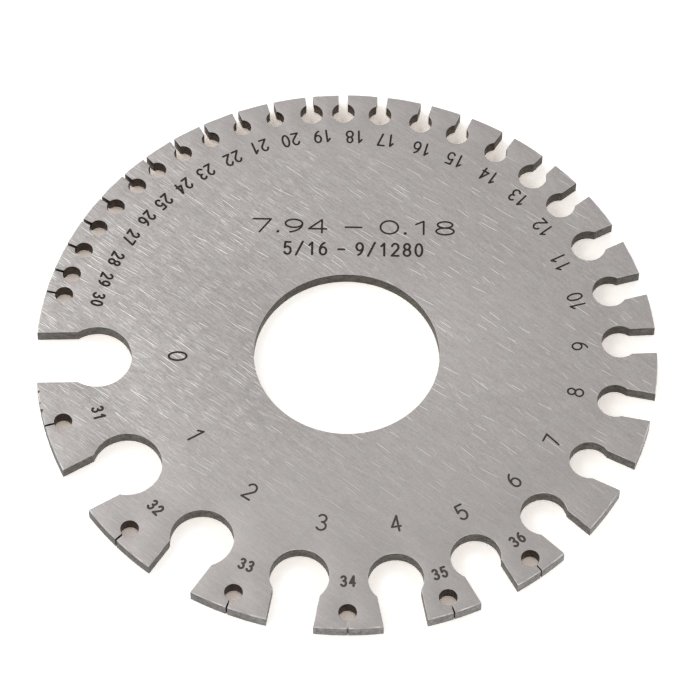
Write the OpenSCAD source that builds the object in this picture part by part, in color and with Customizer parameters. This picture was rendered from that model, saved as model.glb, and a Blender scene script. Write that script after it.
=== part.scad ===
// Wire gauge plate: a flat steel disc with graded slots round its rim.
// Each slot is as wide as its gauge and ends in a round relief hole, and a bore in the middle takes a ring or a hook.
// The origin is the centre of the bore on the back face, and +Z is up through the numbered face.

/* [Plate] */
// Outer diameter of the disc
plate_d = 85; // [80:0.5:95]
// Thickness of the disc
plate_t = 2; // [1.2:0.1:3]
// Diameter of the bore in the middle
bore_d = 25.4; // [16:0.2:40]

/* [Slots] */
// Turn of the whole slot layout about the centre, in degrees from +X
layout_turn = 182; // [0:0.5:359.5]
// Width that is added to the gauge size of every slot
slot_play = 0; // [0:0.01:0.1]
// Depth of the relief hole's centre below the rim at the widest slot
deep_relief = 8.4; // [7.5:0.1:9]
// Depth of the relief hole's centre below the rim at the finest slot
shallow_relief = 2.4; // [2.1:0.1:2.8]
// How many fine slots stand on the lands between the widest slots
land_slots = 6; // [0:1:6]

/* [Hidden] */
$fn = 96;
inch = 25.4;

// How far a slot's cut runs out past the rim
overcut = 1;

// Gauge widths run in straight lines between these: [gauge number, width in parts of an inch]
gauge_parts = 1280;
gauge_steps = [[0, 400], [1, 360], [14, 100], [16, 80], [20, 48], [26, 24], [31, 14], [36, 9]];

// Where the slots of the main run stand, in degrees anticlockwise from the widest one
slot_turns = [
    0, 29.5, 55, 78.5, 99.5, 117.5, 135.5, 152, 167.5, 182, 194.5,
    206.5, 218, 227, 236.5, 245.5, 253.5, 262, 269.5, 276, 283.5,
    290.5, 297.5, 304, 310.5, 316, 322.5, 328.5, 334.5, 340.5, 345.5
];
main_slots = len(slot_turns);
last_slot = main_slots + land_slots - 1;

// Drills for the relief holes: [first slot that it is used on, diameter]
drills = [
    [0, 9.5], [2, 8.6], [3, 8], [4, 7.5], [5, 6.8], [6, 6.4],
    [7, 5.6], [8, 5], [10, 4.8], [12, 4], [14, 3.2], [20, 2.5]
];

// Depth of the relief holes: [gauge number, share of the way from shallow_relief to deep_relief]
depth_steps = [[0, 1], [4, 0.77], [8, 0.47], [11, 0.38], [13, 0.2], [20, 0.07], [36, 0]];

function slot_w(n) = lookup(n, gauge_steps) / gauge_parts * inch + slot_play;

function relief_d(n) =
    let (used = [for (drill = drills) if (drill[0] <= n) drill[1]])
    used[len(used) - 1];

function relief_depth(n) = shallow_relief + (deep_relief - shallow_relief) * lookup(n, depth_steps);

// A slot past the main run stands midway between two of the widest slots
function slot_turn(n) =
    n < main_slots
    ? slot_turns[n]
    : (slot_turns[n - main_slots] + slot_turns[n - main_slots + 1]) / 2;

// One slot's cut: a parallel mouth from the rim in to its relief hole
module slot(n) {
    rotate(layout_turn + slot_turn(n))
    translate([plate_d / 2 - relief_depth(n), 0]) {
        circle(d = relief_d(n));
        translate([0, -slot_w(n) / 2])
        square([relief_depth(n) + overcut, slot_w(n)]);
    }
}

module gauge_plate() {
    color("silver")
    linear_extrude(plate_t)
    difference() {
        circle(d = plate_d);
        circle(d = bore_d);
        for (n = [0:last_slot]) slot(n);
    }
}

gauge_plate();
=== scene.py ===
"""Wire gauge plate: the finished look of the slotted steel disc.

The plate lies on z = 0 with its numbered face up. Lengths here are millimetres until a mesh is made,
and metres after.
"""
import math

import bpy
import numpy as np
from mathutils import Matrix, Vector
from mathutils.geometry import delaunay_2d_cdt


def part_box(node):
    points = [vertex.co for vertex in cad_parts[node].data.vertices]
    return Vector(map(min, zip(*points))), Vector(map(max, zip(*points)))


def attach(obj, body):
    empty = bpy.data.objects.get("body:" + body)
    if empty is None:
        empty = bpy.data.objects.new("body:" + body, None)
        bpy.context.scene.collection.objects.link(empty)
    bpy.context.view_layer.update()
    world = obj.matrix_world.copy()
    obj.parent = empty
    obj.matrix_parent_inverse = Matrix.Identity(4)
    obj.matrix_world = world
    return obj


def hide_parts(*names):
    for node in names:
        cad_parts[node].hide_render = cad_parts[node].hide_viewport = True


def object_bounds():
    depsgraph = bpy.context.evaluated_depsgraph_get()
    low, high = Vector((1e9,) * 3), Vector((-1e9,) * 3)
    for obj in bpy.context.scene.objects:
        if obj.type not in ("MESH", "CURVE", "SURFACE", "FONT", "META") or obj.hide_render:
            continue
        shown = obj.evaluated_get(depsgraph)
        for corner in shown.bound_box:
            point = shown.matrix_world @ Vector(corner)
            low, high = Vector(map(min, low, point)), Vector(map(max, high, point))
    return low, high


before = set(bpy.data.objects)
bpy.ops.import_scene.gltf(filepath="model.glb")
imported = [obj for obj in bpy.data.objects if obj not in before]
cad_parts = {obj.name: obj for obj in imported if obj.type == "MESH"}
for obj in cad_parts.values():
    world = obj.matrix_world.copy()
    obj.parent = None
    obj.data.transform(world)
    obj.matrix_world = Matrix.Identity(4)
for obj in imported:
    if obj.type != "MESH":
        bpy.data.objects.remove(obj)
cad_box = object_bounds()

MM = 0.001
PLATE_NODE = "gauge_plate"

# Heights of the plate's two faces, and the radius of its rim
back_z, face_z = (corner[2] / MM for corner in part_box(PLATE_NODE))
rim_r = cad_box[1][0] / MM

# Closeness of the points on round stretches and on straight ones
ARC_TURN = math.radians(4)
ARC_STEP = 0.22
LINE_STEP = 0.15

# Rounded edges: their radius on the rim, on the wide slots and on the fine ones, and the steps in each
RIM_BREAK = 0.13
SLOT_BREAK = 0.06
FINE_BREAK = 0.03
EDGE_STEPS = 3

# An edge's radius wanders by this share in slow waves
EDGE_WANDER = 0.25
# The waves: radians to the millimetre along X and along Y, the radians at which those along Y start, and how
# far and how fast along Y those along X bend
WAVE_X = 0.9
WAVE_Y = 0.7
WAVE_START = 0.4
BEND = 1.3
BEND_Y = 0.5

# Edges of the mesh that turn by more than this stay sharp
SHARP_TURN = math.radians(50)

# Two lengths are the same within this
SAME = 0.01
# Two points of a face are one point within this
WELD = 0.0001
# Three points lie in a line where the cross product of their steps is below this
IN_LINE = 1e-12

# Knocks on the rim beside the widest slot: turn about the centre in degrees, depth and width
RIM_NICKS = [(189.3, 0.2, 0.24), (193.4, 0.22, 0.22), (191.6, 0.1, 0.15)]

# Where a knock is deeper than this, its edge takes the dark wall colour instead of the painted highlight:
# painted shade in the knock
KNOCKED = 0.06

# Depth of the etched numbers
ETCH_DEPTH = 0.05

# Relief holes under the first radius get darker wall colours, partly their cut finish and partly painted
# shade of the narrow hole, and those under the second are brown as well
SMALL_HOLE = 2.55
BROWN_HOLE = 1.9

# A slot's straight walls look like those of a hole this much wider than the one that they run into
MOUTH_WIDER = 1.1


# The plate's outline, read from the solid


def chain(edges):
    """Points of one closed border in order.

    A point's rank is the number of steps left to the last point. Each pass adds the rank of the point that
    a link reaches and then doubles the link's reach, so a few passes rank them all."""
    names, local = np.unique(edges, return_inverse=True)
    start, end = local.reshape(-1, 2).T
    link = np.empty(len(names), dtype=int)
    link[start] = end
    last = start[end == 0][0]
    link[last] = last
    rank = np.ones(len(names), dtype=int)
    rank[last] = 0
    for _ in range(int(math.ceil(math.log2(len(names)))) + 1):
        rank = rank + rank[link]
        link = link[link]
    return names[np.argsort(-rank)]


def border_edges(triangles, point_count):
    """Edges on the border of some triangles: those that no other of the triangles runs back along."""
    a, b, c = triangles.T
    edges = np.column_stack([np.concatenate([a, b, c]), np.concatenate([b, c, a])])
    forth = edges[:, 0] * point_count + edges[:, 1]
    back = edges[:, 1] * point_count + edges[:, 0]
    return edges[~np.isin(forth, back)]


def face_border(node):
    """Border of a node's upper face: the slotted rim as ordered points, and the bore's radius."""
    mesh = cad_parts[node].data
    mesh.calc_loop_triangles()
    corners = np.empty(3 * len(mesh.loop_triangles), dtype=np.int32)
    mesh.loop_triangles.foreach_get("vertices", corners)
    loose = np.empty(3 * len(mesh.vertices), dtype=np.float32)
    mesh.vertices.foreach_get("co", loose)
    points, merged = np.unique(loose.reshape(-1, 3), axis=0, return_inverse=True)
    points = points.astype(float) / MM
    triangles = merged.reshape(-1)[corners].reshape(-1, 3)
    upper = (points[triangles][:, :, 2] > face_z - SAME).all(axis=1)
    border = border_edges(triangles[upper], len(points))
    radius = np.hypot(points[:, 0], points[:, 1])
    bore_r = radius[border].min()
    on_rim = radius[border[:, 0]] > bore_r + SAME
    return points[chain(border[on_rim]), :2], bore_r


def circle_centre(p, q, r):
    """Centre of the circle through three points, and a far one where they lie in a line."""
    u, v = p - q, r - q
    cross = u[:, 0] * v[:, 1] - u[:, 1] * v[:, 0]
    cross = np.where(abs(cross) < IN_LINE, IN_LINE, cross)[:, None]
    uu, vv = (u * u).sum(axis=1)[:, None], (v * v).sum(axis=1)[:, None]
    step = (uu * v - vv * u) / (2 * cross)
    return q + np.column_stack([step[:, 1], -step[:, 0]])


def draw_arcs(border):
    """Draws the slotted rim again with closer points, as (points, arc radii, relief holes).

    Three points in a row give a circle. Where two neighbours give the same one, their edges lie on it. An
    edge with both ends at the rim's radius lies on the rim's own circle. Such edges are cut into equal
    turns, and any other into equal lengths. A slot's straight wall counts as an arc a little wider than the
    hole that it runs into."""
    after = np.roll(border, -1, axis=0)
    centre = circle_centre(np.roll(border, 1, axis=0), border, after)
    agrees = np.linalg.norm(centre - np.roll(centre, -1, axis=0), axis=1) < SAME
    in_arc = agrees | np.roll(agrees, 1)
    radius = np.hypot(*border.T)
    at_rim = radius > radius.max() - SAME
    rim_edge = at_rim & np.roll(at_rim, -1)
    middle = np.where(in_arc[:, None], centre, np.roll(centre, -1, axis=0))
    middle[rim_edge] = 0
    curved = in_arc | np.roll(in_arc, -1) | rim_edge
    arm, arm_after = border - middle, after - middle
    first = np.arctan2(arm[:, 1], arm[:, 0])
    turn = np.arctan2(arm_after[:, 1], arm_after[:, 0]) - first
    turn = (turn + np.pi) % (2 * np.pi) - np.pi
    reach = np.hypot(*arm.T)
    turns = np.maximum(abs(turn) / ARC_TURN, abs(turn) * reach / ARC_STEP)
    lengths = np.linalg.norm(after - border, axis=1) / LINE_STEP
    pieces = np.ceil(np.where(curved, turns, lengths)).astype(int)
    pieces = np.maximum(pieces, 1)
    edge = np.repeat(np.arange(len(border)), pieces)
    share = (np.arange(len(edge)) - (np.cumsum(pieces) - pieces)[edge]) / pieces[edge]
    angle = first[edge] + share * turn[edge]
    arc = middle[edge] + reach[edge, None] * np.column_stack([np.cos(angle), np.sin(angle)])
    line = border[edge] + share[:, None] * (after - border)[edge]
    drawn = np.where(curved[edge, None], arc, line)
    holes = np.unique(np.round(centre[agrees & ~rim_edge] / SAME).astype(int), axis=0) * SAME
    arc_r = np.where(curved, reach, np.inf)
    nearest_r = np.minimum(np.roll(arc_r, 1), np.roll(arc_r, -1))
    arc_r = np.where(curved, reach, MOUTH_WIDER * nearest_r)
    return drawn, arc_r[edge], holes


def circle(radius, clockwise=False):
    """Points of a circle about the origin, as close together as on the other round stretches."""
    count = int(math.ceil(2 * math.pi / min(ARC_TURN, ARC_STEP / radius)))
    angle = np.linspace(0, 2 * np.pi, count, endpoint=False) * (-1 if clockwise else 1)
    return radius * np.column_stack([np.cos(angle), np.sin(angle)])


def into_metal(border):
    """At each border point, the step that moves both its edges one unit into the metal on their left.

    It is the sum of the two edges' left normals, over one plus their dot product."""
    along = np.roll(border, -1, axis=0) - border
    along /= np.linalg.norm(along, axis=1)[:, None]
    left = np.column_stack([-along[:, 1], along[:, 0]])
    left_before = np.roll(left, 1, axis=0)
    return (left + left_before) / (1 + (left * left_before).sum(axis=1))[:, None]


def knock_depth(border):
    """Depth of the knocks along a border, each a bell curve about its own place on the rim."""
    depth = np.zeros(len(border))
    for turn, deep, wide in RIM_NICKS:
        spot = rim_r * np.array([math.cos(math.radians(turn)), math.sin(math.radians(turn))])
        away = np.linalg.norm(border - spot, axis=1)
        depth += deep * np.exp(-((away / wide) ** 2))
    return depth


def edge_width(border, arc_r):
    """Radius of the rounded edge along a border: by the kind of edge, in slow waves, plus the knocks.

    The waves are a sine along X, bent by a slower sine along Y, times a sine along Y."""
    x, y = border.T
    width = np.where(arc_r < SMALL_HOLE, FINE_BREAK, SLOT_BREAK)
    width = np.where(np.hypot(x, y) > rim_r - SAME, RIM_BREAK, width)
    waves = np.sin(WAVE_X * x + BEND * np.sin(BEND_Y * y)) * np.sin(WAVE_Y * y - WAVE_START)
    return width * (1 + EDGE_WANDER * waves) + knock_depth(border)


# Numbers


# Pen strokes in a box one wide and one high. A line is its two ends (x, y, x, y). An arc is its centre, its
# two radii, and the angles in degrees where it starts and ends (x, y, x radius, y radius, start, end).
STROKES = {
    "0": [(0.5, 0.5, 0.5, 0.5, 90, 270), (0.5, 0.5, 0.5, 0.5, -90, 90)],
    "1": [(0.64, 0, 0.64, 1), (0.64, 1, 0.2, 0.76)],
    "2": [(0.5, 0.71, 0.48, 0.29, 165, -32), (0.907, 0.556, 0, 0), (0, 0, 1, 0)],
    "3": [(0.46, 0.765, 0.44, 0.235, 150, -90), (0.46, 0.265, 0.52, 0.265, 90, -150)],
    "4": [(0.74, 0, 0.74, 1), (0.74, 1, 0, 0.3), (0, 0.3, 1, 0.3)],
    "5": [(0.92, 1, 0.16, 1), (0.16, 1, 0.08, 0.54), (0.48, 0.32, 0.5, 0.32, 138, -150)],
    "6": [
        (0.5, 0.31, 0.48, 0.31, 90, 270), (0.5, 0.31, 0.48, 0.31, -90, 90),
        (0.95, 0.33, 0.93, 0.67, 105, 178),
    ],
    "7": [(0, 1, 1, 1), (1, 1, 0.36, 0)],
    "8": [
        (0.5, 0.76, 0.42, 0.24, 90, 270), (0.5, 0.76, 0.42, 0.24, -90, 90),
        (0.5, 0.26, 0.5, 0.26, 90, 270), (0.5, 0.26, 0.5, 0.26, -90, 90),
    ],
    "9": [
        (0.5, 0.69, 0.48, 0.31, 90, 270), (0.5, 0.69, 0.48, 0.31, -90, 90),
        (0.05, 0.67, 0.93, 0.67, -75, -2),
    ],
    ".": [(0.2, 0.02, 0.8, 0.02), (0.2, 0.08, 0.8, 0.08)],
    "-": [(0.05, 0.46, 0.95, 0.46)],
    "/": [(0, -0.05, 1, 1.05)],
    " ": [],
}


def stroke_path(stroke, points=15):
    """Middle line of a pen stroke: straight between two ends, or evenly stepped angles round an ellipse."""
    if len(stroke) == 4:
        x, y, end_x, end_y = stroke
        return np.array([(x, y), (end_x, end_y)], dtype=float)
    x, y, radius_x, radius_y, start, end = stroke
    angle = np.radians(np.linspace(start, end, points))
    return np.column_stack([x + radius_x * np.cos(angle), y + radius_y * np.sin(angle)])


def pen_outline(path, pen, cap_points=5):
    """Outline of a pen stroke: its path moved half a pen to each side, with a half circle at each end."""
    along = np.gradient(path, axis=0)
    along /= np.linalg.norm(along, axis=1)[:, None]
    side = np.column_stack([-along[:, 1], along[:, 0]])
    turn = np.linspace(0, np.pi, cap_points + 2)[1:-1, None]
    end_cap = path[-1] + pen / 2 * (np.cos(turn) * side[-1] + np.sin(turn) * along[-1])
    start_cap = path[0] - pen / 2 * (np.cos(turn) * side[0] + np.sin(turn) * along[0])
    clockwise = np.concatenate([path + pen / 2 * side, end_cap, (path - pen / 2 * side)[::-1], start_cap])
    return clockwise[::-1]


# Signs that are narrower than a numeral, as shares of its width
NARROW = {".": 0.2, " ": 0.4}


def written(row, middle, up, height, width, gap, pen):
    """Stroke outlines of a row of numerals, centred on a point of the face, with its upright along up.

    Each numeral fills a box of the given height and width, pen included, with a gap to the next one."""
    up = np.asarray(up, dtype=float)
    right = np.array([up[1], -up[0]])
    widths = np.array([width * NARROW.get(sign, 1) for sign in row])
    lefts = np.cumsum(widths + gap) - widths - gap
    lefts -= (lefts[-1] + widths[-1]) / 2
    outlines = []
    for sign, left, wide in zip(row, lefts, widths):
        for stroke in STROKES[sign]:
            path = stroke_path(stroke) * (wide - pen, height - pen) + (left + pen / 2, (pen - height) / 2)
            outlines.append(pen_outline(middle + path[:, :1] * right + path[:, 1:] * up, pen))
    return outlines


# The ring of numbers was laid on a little off the plate's own centre
RING_SHIFT = np.array([1.4, 0.05])
# The slots are counted from this turn in degrees, just before the widest one
COUNT_FROM = 175
# The numbers along the main run: slot number, radius from the ring's centre, height and pen
MAIN_RUN = np.array([
    (0, 24.5, 2.75, 0.3), (3, 26.84, 2.65, 0.3), (5, 28.4, 2.55, 0.31), (9, 30.7, 2.35, 0.25),
    (13, 33.9, 2.2, 0.28), (20, 36.0, 2.15, 0.285), (24, 36.24, 2.05, 0.32), (30, 36.6, 1.85, 0.33),
])
# The fine slots on the lands: their first number, how many, and the place and size of their numbers
LAND_FIRST = 31
LAND_COUNT = 6
LAND_RADIUS = 35.0
LAND_RADIUS_STEP = 0.3
LAND_HEIGHT = 1.8
LAND_PEN = 0.34
# Numbers that were set down off their places: right and up, as they are read
SET_OFF = {
    0: (0.1, 0), 1: (0, -0.17), 2: (0.15, 0), 3: (0.12, -0.05), 4: (0.15, 0.52), 5: (0.37, -0.1),
    7: (-0.27, -0.17), 8: (-0.07, -0.23), 9: (-0.41, 0.15), 10: (0, 0.15), 11: (0, 0.5), 12: (-0.46, 0.15),
    13: (0.17, 0), 14: (-0.12, -0.13), 15: (-0.12, 0), 16: (0.05, 0.12), 18: (-0.15, 0), 19: (0.3, -0.07),
    20: (0.15, 0), 21: (0.22, -0.25), 23: (0.3, 0), 25: (0.32, 0), 26: (-0.22, 0.05), 27: (-0.27, 0.07),
    29: (-0.2, 0), 34: (0.07, 0.53), 35: (0.2, -0.1), 36: (0.37, -0.35),
}
# Width of a numeral that stands alone, of one in a pair, and the gap in the pair, as shares of the height
LONE_WIDTH = 0.58
PAIR_WIDTH = 0.545
PAIR_GAP = 0.1
# The two rows above the bore: the signs, the middle, and the height, width, gap and pen
RANGE_ROWS = [
    ("7.94 - 0.18", (0.65, 20.5), 2.4, 2.75, 0.56, 0.28),
    ("5/16 - 9/1280", (0.65, 16.85), 2.3, 1.25, 0.39, 0.32),
]


def slot_numbers(holes):
    """Outlines of the slots' numbers, each with its foot towards the rim.

    The relief holes are counted anticlockwise from the widest slot. The first lands carry a fine slot each,
    so there the count alternates between the main run and the fine slots."""
    turn = np.degrees(np.arctan2(holes[:, 1], holes[:, 0]))
    holes = holes[np.argsort((turn - COUNT_FROM) % 360)]
    paired = np.column_stack([np.arange(LAND_COUNT), LAND_FIRST + np.arange(LAND_COUNT)]).ravel()
    numbers = np.concatenate([paired, np.arange(LAND_COUNT, len(holes) - LAND_COUNT)])
    outlines = []
    for number, hole in zip(numbers, holes):
        out = hole / np.linalg.norm(hole)
        if number < LAND_FIRST:
            radius, height, pen = (np.interp(number, MAIN_RUN[:, 0], MAIN_RUN[:, k]) for k in (1, 2, 3))
            middle = RING_SHIFT + radius * out
        else:
            middle = (LAND_RADIUS + LAND_RADIUS_STEP * (number - LAND_FIRST)) * out
            height, pen = LAND_HEIGHT, LAND_PEN
        right, up = SET_OFF.get(number, (0, 0))
        middle = middle + right * np.array([-out[1], out[0]]) - up * out
        width = (LONE_WIDTH if number < 10 else PAIR_WIDTH) * height
        outlines += written(str(number), middle, -out, height, width, PAIR_GAP * height, pen)
    return outlines


def range_rows():
    """Outlines of the rows above the bore: the widest and finest slot in millimetres and in inches."""
    upright = (0, 1)
    outlines = []
    for row, middle, height, width, gap, pen in RANGE_ROWS:
        outlines += written(row, middle, upright, height, width, gap, pen)
    return outlines


# The plate


# The triangulation's choice of keeping only what lies inside its outlines
INSIDE_ONLY = 1

# Numbers of the plate's materials, in the order that they are handed over
STEEL, EDGE_HIGHLIGHT, RIM, WALL, DRILLED_AND_SHADE, BORED_AND_SHADE, ETCH = range(7)


def fill(loops, marks=()):
    """Triangles of the area inside the first loop and outside the second, as (points, triangles, sunk).

    The loops and the marks' outlines are edges of one Delaunay triangulation. A triangle is sunk if it is in
    a mark. The loops' own points come first, in their order."""
    outlines = list(loops) + list(marks)
    points = np.concatenate(outlines)
    ends = np.cumsum([len(outline) for outline in outlines])
    faces = [list(range(end - len(outline), end)) for outline, end in zip(outlines, ends)]
    # The second loop runs clockwise round its hole, and an outline has to run the other way here
    faces[1] = faces[1][::-1]
    found, _, triangles, sources, _, owners = delaunay_2d_cdt(
        [Vector(point) for point in points], [], faces, INSIDE_ONLY, WELD
    )
    # Outlines 0 and 1 are the loops, and those after them are marks
    inside = np.array([0 in owner and 1 not in owner for owner in owners])
    sunk = np.array([max(owner, default=0) > 1 for owner in owners])
    border_count = ends[1]
    first_source = np.array([min(source, default=len(points)) for source in sources])
    on_border = first_source < border_count
    index = np.where(on_border, first_source, 0)
    index[~on_border] = border_count + np.arange((~on_border).sum())
    place = np.concatenate([points[:border_count], np.array(found)[~on_border]])
    triangles = index[np.array(triangles)]
    return place, triangles[inside], sunk[inside]


def bands(rings):
    """Quads between each closed ring of points and the next, which lies to its right going along it."""
    count = len(rings[0])
    here = np.arange(count)
    after = np.roll(here, -1)
    first_ring = np.column_stack([here, here + count, after + count, after])
    return np.concatenate([first_ring + k * count for k in range(len(rings) - 1)])


def side_rings(border, arc_r):
    """Rings from the numbered face to the back: a quarter round, the straight wall and a quarter round.

    On a quarter round of radius w at angle a, the ring lies w (1 - cos a) into the metal and w (1 - sin a)
    from the face."""
    inward = into_metal(border)
    width = edge_width(border, arc_r)[:, None]
    angle = np.linspace(np.pi / 2, 0, EDGE_STEPS + 1)
    rings = []
    for a in angle:
        height = face_z - width * (1 - math.sin(a))
        rings.append(np.hstack([border + inward * width * (1 - math.cos(a)), height]))
    plain = np.full_like(width, FINE_BREAK)
    for a in angle[::-1]:
        height = back_z + plain * (1 - math.sin(a))
        rings.append(np.hstack([border + inward * plain * (1 - math.cos(a)), height]))
    return rings


def mesh_piece(name, points, parts, materials):
    """A mesh object from points in millimetres and parts of (faces, material number, smooth)."""
    mesh = bpy.data.meshes.new(name)
    sides = np.concatenate([np.full(len(faces), faces.shape[1]) for faces, _, _ in parts])
    corners = np.concatenate([faces.ravel() for faces, _, _ in parts])
    mesh.vertices.add(len(points))
    mesh.vertices.foreach_set("co", (points * MM).astype(np.float32).ravel())
    mesh.loops.add(len(corners))
    mesh.loops.foreach_set("vertex_index", corners.astype(np.int32))
    mesh.polygons.add(len(sides))
    mesh.polygons.foreach_set("loop_start", (np.cumsum(sides) - sides).astype(np.int32))
    numbers = np.concatenate([np.full(len(faces), number) for faces, number, _ in parts])
    smooth = np.concatenate([np.full(len(faces), rounded) for faces, _, rounded in parts])
    mesh.polygons.foreach_set("material_index", numbers.astype(np.int32))
    mesh.polygons.foreach_set("use_smooth", smooth.astype(bool))
    mesh.update(calc_edges=True)
    mesh.validate()
    mesh.set_sharp_from_angle(angle=SHARP_TURN)
    for material in materials:
        mesh.materials.append(material)
    piece = bpy.data.objects.new(name, mesh)
    bpy.context.collection.objects.link(piece)
    return piece


def etched_floor(place, triangles, sunk, first_new):
    """Sinks the marked triangles and joins them to the face by upright walls.

    Each point of a mark gets a copy at the etched depth. Each edge on a mark's border carries a wall that
    faces into the mark."""
    used = np.unique(triangles[sunk])
    low = np.zeros(len(place), dtype=int)
    low[used] = first_new + np.arange(len(used))
    start, end = border_edges(triangles[sunk], len(place)).T
    walls = np.column_stack([start, end, low[end], low[start]])
    points = np.column_stack([place[used], np.full(len(used), face_z - ETCH_DEPTH)])
    return points, low[triangles[sunk]], walls


def rim_materials(border, arc_r):
    """Material numbers along the slotted rim, as (straight walls, rounded edges)."""
    walls = np.full(len(border), WALL)
    # Narrower holes get darker walls: partly their cut finish, partly painted shade
    walls[arc_r < SMALL_HOLE] = BORED_AND_SHADE
    walls[arc_r < BROWN_HOLE] = DRILLED_AND_SHADE
    walls[abs(arc_r - rim_r) < SAME] = RIM
    # Deeper knocks take the dark wall colour instead of the edge's painted highlight: painted shade in the
    # knock
    edges = np.where(knock_depth(border) > KNOCKED, WALL, EDGE_HIGHLIGHT)
    return walls, edges


def numbered_plate(materials):
    """The whole plate as one closed mesh: two faces, rounded edges, walls and the etched numbers."""
    border, bore_r = face_border(PLATE_NODE)
    border, arc_r, holes = draw_arcs(border)
    bore = circle(bore_r, clockwise=True)
    outer = side_rings(border, arc_r)
    # The bore's edge is as crisp as a fine hole's
    inner = side_rings(bore, np.zeros(len(bore)))
    top_loops = [outer[0][:, :2], inner[0][:, :2]]
    marks = slot_numbers(holes) + range_rows()
    place, triangles, sunk = fill(top_loops, marks)
    face = np.column_stack([place, np.full(len(place), face_z)])
    low_points, floor, mark_walls = etched_floor(place, triangles, sunk, len(face))
    points = [face, low_points]
    parts = [(triangles[~sunk], STEEL, False), (floor, ETCH, False), (mark_walls, ETCH, False)]

    # The sides: the first ring of each border is already on the face, and the last one carries the back
    total = len(face) + len(low_points)
    bore_materials = np.full(len(bore), BORED_AND_SHADE), np.full(len(bore), EDGE_HIGHLIGHT)
    sides = [(0, outer, rim_materials(border, arc_r)), (len(border), inner, bore_materials)]
    back_index = []
    for first, rings, (walls, edges) in sides:
        count = len(rings[0])
        below = np.concatenate(rings[1:])
        lookup = np.concatenate([first + np.arange(count), total + np.arange(len(below))])
        quads = lookup[bands(rings)]
        points.append(below)
        # The straight wall is the band between the two quarter rounds
        numbers = np.concatenate([walls if band == EDGE_STEPS else edges for band in range(len(rings) - 1)])
        for number in np.unique(numbers):
            parts.append((quads[numbers == number], number, True))
        back_index.append(total + len(below) - count + np.arange(count))
        total += len(below)
    _, back_triangles, _ = fill([outer[-1][:, :2], inner[-1][:, :2]])
    back_lookup = np.concatenate(back_index)
    parts.append((back_lookup[back_triangles][:, ::-1], STEEL, False))
    return mesh_piece("numbered_plate", np.concatenate(points), parts, materials)


# Materials


# The most that a scratch leans, across over along
SCRATCH_LEAN = 0.125
# Its half length at the least and at the most, as shares of its cell's length, and the share that is full
SHORT_REACH = 0.2
LONG_REACH = 0.5
FULL_REACH = 0.5
# Its half widths where its tone starts and where it is full, as shares of its width
LINE_START = 0.55
LINE_FULL = 0.3
# The share of the scratches that are at full strength
FULL_SHARE = 0.5


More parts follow.
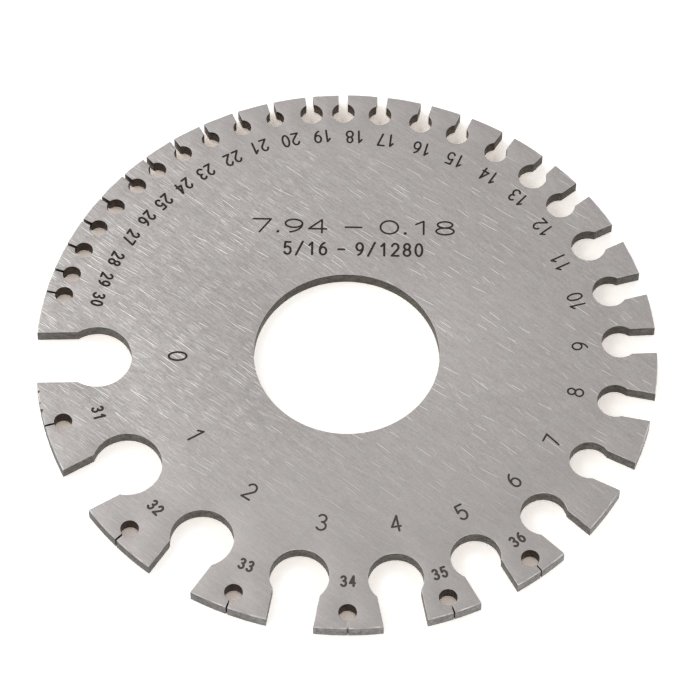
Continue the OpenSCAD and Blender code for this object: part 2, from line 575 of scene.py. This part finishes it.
class Wire:
    """An output socket in a node tree. Arithmetic with wires and numbers adds Math nodes to the tree."""

    def __init__(self, tree, socket=None):
        self.tree = tree
        self.socket = socket

    def node(self, kind, settings=None, inputs=None, output=0):
        """Any node by its type, with settings and a value or wire for each input, as one output's wire."""
        made = self.tree.nodes.new(kind)
        for name, value in (settings or {}).items():
            setattr(made, name, value)
        for name, value in (inputs or {}).items():
            if isinstance(value, Wire):
                self.tree.links.new(value.socket, made.inputs[name])
            else:
                made.inputs[name].default_value = value
        return Wire(self.tree, made.outputs[output] if made.outputs else None)

    def other(self, output):
        """Another output of the same node."""
        return Wire(self.tree, self.socket.node.outputs[output])

    def parts(self):
        """This vector's X. Its Y and Z are the same node's outputs 1 and 2."""
        return self.node("ShaderNodeSeparateXYZ", {}, {0: self})

    def math(self, operation, *terms):
        """One Math node on wires and numbers."""
        return self.node("ShaderNodeMath", {"operation": operation}, dict(enumerate(terms)))

    def __add__(self, term):
        return self.math("ADD", self, term)

    def __sub__(self, term):
        return self.math("SUBTRACT", self, term)

    def __rsub__(self, term):
        return self.math("SUBTRACT", term, self)

    def __mul__(self, term):
        return self.math("MULTIPLY", self, term)

    def __rtruediv__(self, term):
        return self.math("DIVIDE", term, self)

    __radd__ = __add__
    __rmul__ = __mul__

    def size(self):
        """This wire without its sign."""
        return self.math("ABSOLUTE", self)

    def most(self, term):
        """The greater of the two."""
        return self.math("MAXIMUM", self, term)

    def swing(self, amount):
        """This noise, which lies about a half, as a swing of an amount about zero."""
        return (self - 0.5) * amount

    def between(self, low, high):
        """A number that goes from low to high as this wire goes from 0 to 1."""
        return self * (high - low) + low

    def over(self, low, high):
        """0 at low and 1 at high, smooth between them, on a rising or a falling range."""
        return self.node(
            "ShaderNodeMapRange",
            {"interpolation_type": "SMOOTHSTEP"},
            {"Value": self, "From Min": low, "From Max": high},
        )

    def blend(self, low, high):
        """Colour that goes from low to high as this wire goes from 0 to 1."""
        return self.node("ShaderNodeMix", {"data_type": "RGBA"}, {0: self, 6: low, 7: high}, 2)

    def tinted(self, tint):
        """This colour times another one."""
        settings = {"data_type": "RGBA", "blend_type": "MULTIPLY"}
        return self.node("ShaderNodeMix", settings, {0: 1.0, 6: self, 7: tint}, 2)

    def scaled(self, factor):
        """This vector or colour times a number."""
        return self.node("ShaderNodeVectorMath", {"operation": "SCALE"}, {0: self, "Scale": factor})

    def stretched(self, scale, turn=0.0):
        """This vector turned about Z and then scaled along each axis."""
        inputs = {"Vector": self, "Angle": math.radians(turn)}
        turned = self.node("ShaderNodeVectorRotate", {"rotation_type": "Z_AXIS"}, inputs)
        return self.node("ShaderNodeVectorMath", {"operation": "MULTIPLY"}, {0: turned, 1: scale})

    def noise(self, scale, turn=0.0, detail=2.0, roughness=0.5):
        """Noise with scale waves to the millimetre along each axis."""
        place = self.stretched(scale, turn)
        inputs = {"Vector": place, "Scale": 1.0, "Detail": detail, "Roughness": roughness}
        return self.node("ShaderNodeTexNoise", {}, inputs)

    def open_share(self, reach, samples):
        """Share of the sky over a spot that nothing nearer than a reach in millimetres closes off."""
        inputs = {"Distance": reach * MM}
        return self.node("ShaderNodeAmbientOcclusion", {"samples": samples}, inputs, "AO")

    def scratches(self, length, gap, width, turn, share):
        """Separate straight scratches of a width in millimetres, as (lines for a painted glint, their
        painted shadow sides).

        The face is cut into cells of a length and a gap. A share of them hold one line through their own
        point, which fades towards its ends and leans a little its own way. Its dark side, a painted shadow,
        runs along it, one width away."""
        place = self.stretched((1 / length, 1 / gap, 0), turn)
        cell = self.node(
            "ShaderNodeTexVoronoi",
            {"voronoi_dimensions": "2D"},
            {"Vector": place, "Scale": 1.0, "Randomness": 1.0},
            "Position",
        )
        away = self.node("ShaderNodeVectorMath", {"operation": "SUBTRACT"}, {0: place, 1: cell})
        along = away.parts()
        chance = self.node("ShaderNodeSeparateColor", {}, {0: cell.other("Color")})
        lean = chance.other(1).swing(2 * SCRATCH_LEAN * length / gap)
        across = (along.other(1) + along * lean) * gap
        reach = chance.other(2).between(SHORT_REACH, LONG_REACH)
        held = chance.over(1 - share, 1 - FULL_SHARE * share)
        shown = along.size().over(reach, reach * FULL_REACH) * held
        bright = across.size().over(width * LINE_START, width * LINE_FULL) * shown
        dark = (across - width).size().over(width * LINE_START, width * LINE_FULL) * shown
        return bright, dark


def material(name):
    """A new material with an empty tree, as its first wire: the place on the piece in millimetres."""
    made = bpy.data.materials.new(name)
    made.use_nodes = True
    made.node_tree.nodes.clear()
    place = Wire(made.node_tree).node("ShaderNodeTexCoord", output="Object")
    return made, place.scaled(1 / MM)


def surface(made, place, base, roughness, relief, relief_height, metallic=1.0, specular=0.5):
    """Ends a material in a Principled shader with a bump whose height is in millimetres."""
    bump = {"Height": relief, "Strength": 1.0, "Distance": relief_height * MM}
    inputs = {
        "Base Color": base,
        "Roughness": roughness,
        "Metallic": metallic,
        "Specular IOR Level": specular,
        "Normal": place.node("ShaderNodeBump", {}, bump),
    }
    shader = place.node("ShaderNodeBsdfPrincipled", {}, inputs)
    place.node("ShaderNodeOutputMaterial", {}, {"Surface": shader})
    return made


# Direction of the brushing on the face, in degrees down to the right of +X
BRUSH_TURN = 38
# The face's own colours, the casts over it, and a scratch's painted shadow side and painted glint
FACE_DARK = (0.325, 0.306, 0.3, 1)
FACE_LIGHT = (0.48, 0.454, 0.446, 1)
WARM_CAST = (1.005, 0.985, 0.98, 1)
GREEN_CAST = (0.98, 0.995, 0.975, 1)
SCRATCH_SHADOW = (0.16, 0.15, 0.145, 1)
SCRATCH_GLINT = (0.93, 0.92, 0.9, 1)
# Waves to the millimetre along and across the brushing: grain, long drags, and patches with dashes
GRAIN = (0.5, 4.8, 4.8)
DRAG = (0.07, 0.8, 0.8)
DASH_PATCH = (0.3, 0.5, 0.5)
# Waves to the millimetre in every direction: specks, slow clouds, and the cast, with its turn in degrees
SPECK = (4.2, 4.2, 4.2)
CLOUD = (0.07, 0.07, 0.07)
CAST = (0.45, 0.45, 0.45)
CAST_TURN = 70
# Wear, and with it a painted lift of light, grows from the first X to the second. The keen band fades out
# between two Y below it and two above it.
# Clouds move all of them by up to half of these millimetres.
WEAR_AND_LIGHT_X = (25, -35)
WEAR_AND_LIGHT_CLOUD = 50
KEEN_BELOW = (-32, 0)
KEEN_ABOVE = (44, 18)
KEEN_CLOUD = 24
# Scratches: length and gap of their cells, width, turn, and the share of cells that hold one
DASHES = (2.6, 0.27, 0.07, BRUSH_TURN, 0.55)
LONG_LINES = (4.5, 1.0, 0.085, BRUSH_TURN - 3, 0.4)
STRAYS = (2.2, 2.1, 0.09, BRUSH_TURN + 12, 0.35)
# Waves to the millimetre along X, Y and Z: tool lines, mottle and grit on the walls, patches on the edges,
# and spots in the numbers
TOOL_LINES = (0.5, 0.5, 4.0)
MOTTLE = (1.3, 1.3, 1.3)
GRIT = (3.6, 3.6, 2.2)
EDGE_PATCH = (0.5, 0.5, 0.5)
OXIDE_SPOT = (5.0, 5.0, 5.0)
# The oxide grows thin from the first Y to the second
THIN_Y = (5, -35)
# Heights of the bumps on the face, the walls and the edges, and in the numbers
FACE_RELIEF = 0.0012
WALL_RELIEF = 0.008
EDGE_RELIEF = 0.004
OXIDE_RELIEF = 0.012
# Painted highlight on the rounded edges, dull and bright, and the oxide in the numbers where it is thick and
# where it is thin
HIGHLIGHT_DULL = (0.38, 0.37, 0.36, 1)
HIGHLIGHT_BRIGHT = (0.68, 0.665, 0.65, 1)
OXIDE_THICK = (0.02, 0.016, 0.014, 1)
OXIDE_THIN = (0.085, 0.075, 0.067, 1)


def brushed_face():
    """Satin steel brushed in straight lines, with separate scratches, each painted with a bright glint and a
    dark shadow side.

    Grain and scratches are stronger towards the widest slot, where wear grows, and where the face is keen,
    in a band across the middle. Towards the widest slot the tone is also lighter: painted light."""
    made, place = material("brushed_face")
    grain = place.noise(GRAIN, BRUSH_TURN, detail=2.0, roughness=0.7)
    speck = place.noise(SPECK, detail=3.0, roughness=0.7)
    drag = place.noise(DRAG, BRUSH_TURN, detail=3.0)
    cloud = place.noise(CLOUD, detail=2.0)
    cast = place.noise(CAST, CAST_TURN, detail=2.0)
    side = place.parts()
    worn_and_lit = (side + cloud.swing(WEAR_AND_LIGHT_CLOUD)).over(*WEAR_AND_LIGHT_X)
    up = side.other(1) + cloud.swing(KEEN_CLOUD)
    keen = up.over(*KEEN_BELOW) * up.over(*KEEN_ABOVE)
    patches = (place.noise(DASH_PATCH, BRUSH_TURN, detail=2.0) + worn_and_lit * 0.2).over(0.4, 0.75)
    dashes, dash_shadows = place.scratches(*DASHES)
    lines, line_shadows = place.scratches(*LONG_LINES)
    strays, _ = place.scratches(*STRAYS)
    wear = worn_and_lit.between(0.7, 1) * keen.between(0.2, 1)
    dashing = patches * worn_and_lit.between(0.5, 0.9)
    hairs = (dashes * dashing).most(lines).most(strays * 0.5) * wear
    sides = (dash_shadows * dashing).most(line_shadows) * wear
    brushing = grain.swing(keen * worn_and_lit.between(0.5, 1.8) + 0.8)
    specks = speck.swing(keen * worn_and_lit.between(0.4, 1.4) + 0.9)
    # The wear mask also lifts the tone towards the widest slot: painted light, the left of the face lit
    # brighter
    tone = brushing + specks + drag.swing(0.3) + worn_and_lit * 0.2 + 0.44
    base = tone.blend(FACE_DARK, FACE_LIGHT)
    base = base.tinted(cast.over(0.3, 0.7).blend(WARM_CAST, GREEN_CAST))
    # Painted shadow along one side of each scratch, then a painted glint along its line
    base = (sides * 0.6).blend(base, SCRATCH_SHADOW)
    base = hairs.blend(base, SCRATCH_GLINT)
    roughness = grain.swing(0.14) + hairs * 0.06 + 0.5
    relief = grain * 0.6 + speck * 0.5 - hairs * 0.8
    return surface(made, place, base, roughness, relief, FACE_RELIEF)


def cut_metal(name, dark, light, rough, left_shade_share=1.0):
    """Bare cut metal on an upright wall, with tool lines that lie level, and a mottle and grit over them.

    Towards -X its tone falls to a share of what it is elsewhere: painted shade on that side of the plate."""
    made, place = material(name)
    lines = place.noise(TOOL_LINES, detail=3.0, roughness=0.6)
    mottle = place.noise(MOTTLE, detail=4.0, roughness=0.7)
    grit = place.noise(GRIT, detail=2.0, roughness=0.7)
    tone = lines.swing(2.0) + mottle.swing(3.2) + grit.swing(2.4) + 0.5
    base = tone.blend((*dark, 1), (*light, 1))
    # Painted shade: the tone falls towards -X
    side = place.parts().over(0, -rim_r)
    base = base.tinted(side.blend((1, 1, 1, 1), (left_shade_share, left_shade_share, left_shade_share, 1)))
    roughness = mottle.swing(0.2) + rough
    return surface(made, place, base, roughness, lines + mottle * 0.5, WALL_RELIEF)


def rubbed_edge():
    """Painted highlight on the rounded edges: a light colour, duller in patches."""
    made, place = material("rubbed_edge")
    patches = place.noise(EDGE_PATCH, detail=4.0, roughness=0.65)
    base = patches.over(0.38, 0.68).blend(HIGHLIGHT_DULL, HIGHLIGHT_BRIGHT)
    roughness = patches.swing(0.2) + 0.4
    return surface(made, place, base, roughness, patches, EDGE_RELIEF)


def etched_number():
    """Dark oxide in the etched numbers, thinner in spots and towards -Y so that a little steel shows."""
    made, place = material("etched_number")
    spots = place.noise(OXIDE_SPOT, detail=3.0, roughness=0.65)
    thin = place.parts().other(1).over(*THIN_Y)
    base = (spots.over(0.45, 0.8) * 0.6 + thin * 0.7).blend(OXIDE_THICK, OXIDE_THIN)
    roughness = spots.swing(0.2) + 0.62
    return surface(made, place, base, roughness, spots, OXIDE_RELIEF, metallic=0.0, specular=0.15)


# The table's plain paper, and its painted shade and white: its colour in the slits, and its tones in the
# holes, in the mouths and in the open
PAPER = (0.88, 0.85, 0.815, 1)
SLIT_SHADE = (0.3, 0.26, 0.24, 1)
HOLE_SHADE = (0.456, 0.4, 0.36, 1)
MOUTH_SHADE = (0.925, 0.885, 0.84, 1)
OPEN_TONE = (1.3, 1.3, 1.3, 1)
# Shares of light between which the table goes from one of these to the next
SLIT_TO_HOLE = (0.08, 0.24)
HOLE_TO_MOUTH = (0.43, 0.68)
MOUTH_TO_OPEN = (0.66, 0.95)
# Walls close off the sky from as far away as the first, and throw light back as far as the second
SKY_REACH = 20
FOOT_REACH = 1.6
# How many directions are tried for each of the two
SKY_SAMPLES = 32
FOOT_SAMPLES = 16
# The share that walls throw back of the sky that they close off
FOOT_SHARE = 0.4
# The light on a spot counts as its open share of the sky plus the first, and as the second at least
STRAY_LIGHT = 0.03
LEAST_LIGHT = 0.27


def table_white():
    """Warm white table with its shade painted in: white in the open, cream in the holes, dark in the slits.

    The tone follows the share of the sky that is open over each spot, plus a part of what walls right beside
    it close off. That tone over the light on the spot is the colour for light that is seen or mirrored. The
    plate itself is lit by the plain paper."""
    made, place = material("table_white")
    rays = place.node("ShaderNodeLightPath")
    mirrored = rays.other("Is Glossy Ray").most(rays.other("Is Transmission Ray"))
    seen = rays.other("Is Camera Ray").most(mirrored)
    open_sky = place.open_share(SKY_REACH, SKY_SAMPLES)
    clear_foot = place.open_share(FOOT_REACH, FOOT_SAMPLES)
    airy = open_sky + (1 - clear_foot) * FOOT_SHARE
    tone = airy.over(*HOLE_TO_MOUTH).blend(HOLE_SHADE, MOUTH_SHADE)
    tone = airy.over(*MOUTH_TO_OPEN).blend(tone, OPEN_TONE)
    light = (open_sky + STRAY_LIGHT).most(LEAST_LIGHT)
    # Painted shade: the seen colour is the tone over the light, so the holes and slits keep their painted
    # tone whatever light reaches them
    painted_tone = open_sky.over(*SLIT_TO_HOLE).blend(SLIT_SHADE, tone.scaled(1 / light))
    colour = seen.blend(PAPER, painted_tone)
    diffuse = place.node("ShaderNodeBsdfDiffuse", {}, {"Color": colour})
    place.node("ShaderNodeOutputMaterial", {}, {"Surface": diffuse})
    return made


# Studio


TABLE_HALF = 1500.0
# The table stands this far up the plate's rounded lower edge, so that light from below reaches the back
TABLE_LIFT = 0.02
# The camera in millimetres and degrees, fitted to the photograph's square frame
CAMERA_PLACE = (0.0, -354.9, 592.7)
CAMERA_AIM = (0.44, 1.74, 0.0)
CAMERA_ROLL = 1.03
CAMERA_LENS = 259.3
CAMERA_NEAR = 10.0
# The lamp's place and side in millimetres, and its watts
LAMP_PLACE = (-215, 125, 260)
LAMP_SIDE = 300
LAMP_WATTS = 0.27
SKY_STRENGTH = 0.95


def table():
    """A flat square table under the plate."""
    square = np.array([(-1, -1, 0), (1, -1, 0), (1, 1, 0), (-1, 1, 0)]) * TABLE_HALF
    square[:, 2] = back_z + TABLE_LIFT
    top = mesh_piece("table", square, [(np.array([[0, 1, 2, 3]]), 0, False)], [table_white()])


def facing(place, aim):
    """Where a camera or a lamp stands at a place and looks to its aim, both in millimetres."""
    place, aim = Vector(place) * MM, Vector(aim) * MM
    return Matrix.Translation(place) @ (aim - place).to_track_quat("-Z", "Y").to_matrix().to_4x4()


def camera():
    """The camera looks from its place to its aim and is turned about that line."""
    data = bpy.data.cameras.new("camera")
    data.lens = CAMERA_LENS
    data.clip_start = CAMERA_NEAR * MM
    seat = bpy.data.objects.new("camera", data)
    roll = Matrix.Rotation(math.radians(CAMERA_ROLL), 4, "Z")
    seat.matrix_world = facing(CAMERA_PLACE, CAMERA_AIM) @ roll
    bpy.context.collection.objects.link(seat)
    bpy.context.scene.camera = seat


def softbox():
    """A square lamp to the left of the plate that faces its centre."""
    data = bpy.data.lights.new("left_softbox", "AREA")
    data.size = LAMP_SIDE * MM
    data.energy = LAMP_WATTS
    lamp = bpy.data.objects.new("left_softbox", data)
    lamp.matrix_world = facing(LAMP_PLACE, (0, 0, 0))
    bpy.context.collection.objects.link(lamp)


def sky():
    """An even white sky."""
    world = bpy.data.worlds.new("sky")
    world.use_nodes = True
    background = world.node_tree.nodes["Background"]
    background.inputs["Color"].default_value = (1, 1, 1, 1)
    background.inputs["Strength"].default_value = SKY_STRENGTH
    bpy.context.scene.world = world


def studio():
    """All that stands round the plate for its picture."""
    table()
    camera()
    sky()
    softbox()
    bpy.context.scene.view_settings.view_transform = "Standard"


plate = numbered_plate([
    brushed_face(),
    # Painted highlight on the rounded edges
    rubbed_edge(),
    # The rim's tone falls towards -X: painted shade
    cut_metal("turned_rim", (0.15, 0.144, 0.142), (0.275, 0.267, 0.262), rough=0.5, left_shade_share=0.45),
    cut_metal("milled_wall", (0.085, 0.08, 0.0745), (0.17, 0.16, 0.15), rough=0.55),
    # Walls of the narrower holes: darker, partly painted shade
    cut_metal("drilled_wall_and_shade", (0.063, 0.051, 0.043), (0.134, 0.107, 0.091), rough=0.55),
    cut_metal("bored_wall_and_shade", (0.062, 0.057, 0.05), (0.125, 0.115, 0.101), rough=0.55),
    etched_number(),
])
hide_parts(PLATE_NODE)
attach(plate, "root")
studio()
